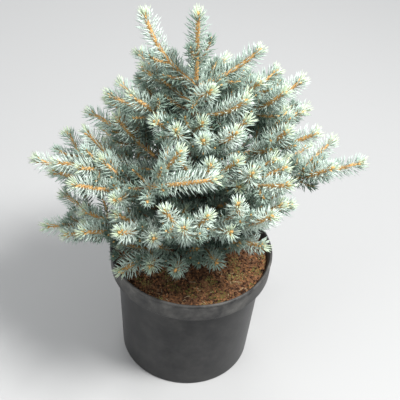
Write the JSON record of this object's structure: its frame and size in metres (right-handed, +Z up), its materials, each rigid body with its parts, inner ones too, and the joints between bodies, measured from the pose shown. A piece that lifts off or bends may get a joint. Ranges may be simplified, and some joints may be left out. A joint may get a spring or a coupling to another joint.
{
  "type": "potted blue spruce",
  "caption": "Young globe-form blue spruce with a leader shoot and tiers of needle-clad boughs, growing in a round plastic nursery pot filled with soil.",
  "frame": {"origin": "centre of the pot's flat underside", "axes": "+Z up along the pot's axis towards the leader; -Y is the side the crown shows in front, where one long shoot lies across the others; +X is to the right seen from the front"},
  "size_m": [0.5082, 0.4172, 0.643],
  "materials": {
    "pot": "dusty charcoal polypropylene",
    "soil": "damp peat and bark with moss",
    "bark": "scaly orange-brown bark",
    "foliage": "glaucous blue-green needles"
  },
  "bodies": {
    "root": {"pot": "pot", "soil": "soil", "trunk": "bark", "middle_left_bough": "bark", "middle_right_bough": "bark", "middle_front_right_bough": "bark", "middle_back_right_bough": "bark", "middle_back_bough": "bark", "middle_back_left_bough": "bark", "far_left_bough": "bark", "front_left_bough": "bark", "front_across_bough": "bark", "far_right_bough": "bark", "low_left_bough": "bark", "low_back_right_bough": "bark", "low_back_bough": "bark", "low_back_left_bough": "bark", "top_left_foliage": "foliage", "top_right_foliage": "foliage", "top_front_foliage": "foliage", "top_back_foliage": "foliage", "upper_left_foliage": "foliage", "upper_right_foliage": "foliage", "upper_far_right_foliage": "foliage", "upper_outer_left_foliage": "foliage", "upper_front_foliage": "foliage", "upper_front_right_foliage": "foliage", "upper_near_right_foliage": "foliage", "upper_back_left_foliage": "foliage", "upper_back_foliage": "foliage", "middle_left_foliage": "foliage", "middle_right_foliage": "foliage", "middle_front_foliage": "foliage", "middle_front_right_foliage": "foliage", "middle_back_right_foliage": "foliage", "middle_back_foliage": "foliage", "middle_back_left_foliage": "foliage", "far_left_foliage": "foliage", "left_foliage": "foliage", "front_left_foliage": "foliage", "front_across_foliage": "foliage", "far_right_foliage": "foliage", "low_front_right_foliage": "foliage", "low_front_foliage": "foliage", "low_near_front_foliage": "foliage", "low_front_left_foliage": "foliage", "low_outer_left_foliage": "foliage", "low_left_foliage": "foliage", "low_right_foliage": "foliage", "low_back_right_foliage": "foliage", "low_back_foliage": "foliage", "low_back_left_foliage": "foliage", "skirt_left_foliage": "foliage", "skirt_front_foliage": "foliage", "skirt_right_foliage": "foliage", "skirt_far_right_foliage": "foliage", "skirt_back_right_foliage": "foliage", "skirt_back_foliage": "foliage", "skirt_back_left_foliage": "foliage", "leader_foliage": "foliage"}
  },
  "joints": []
}
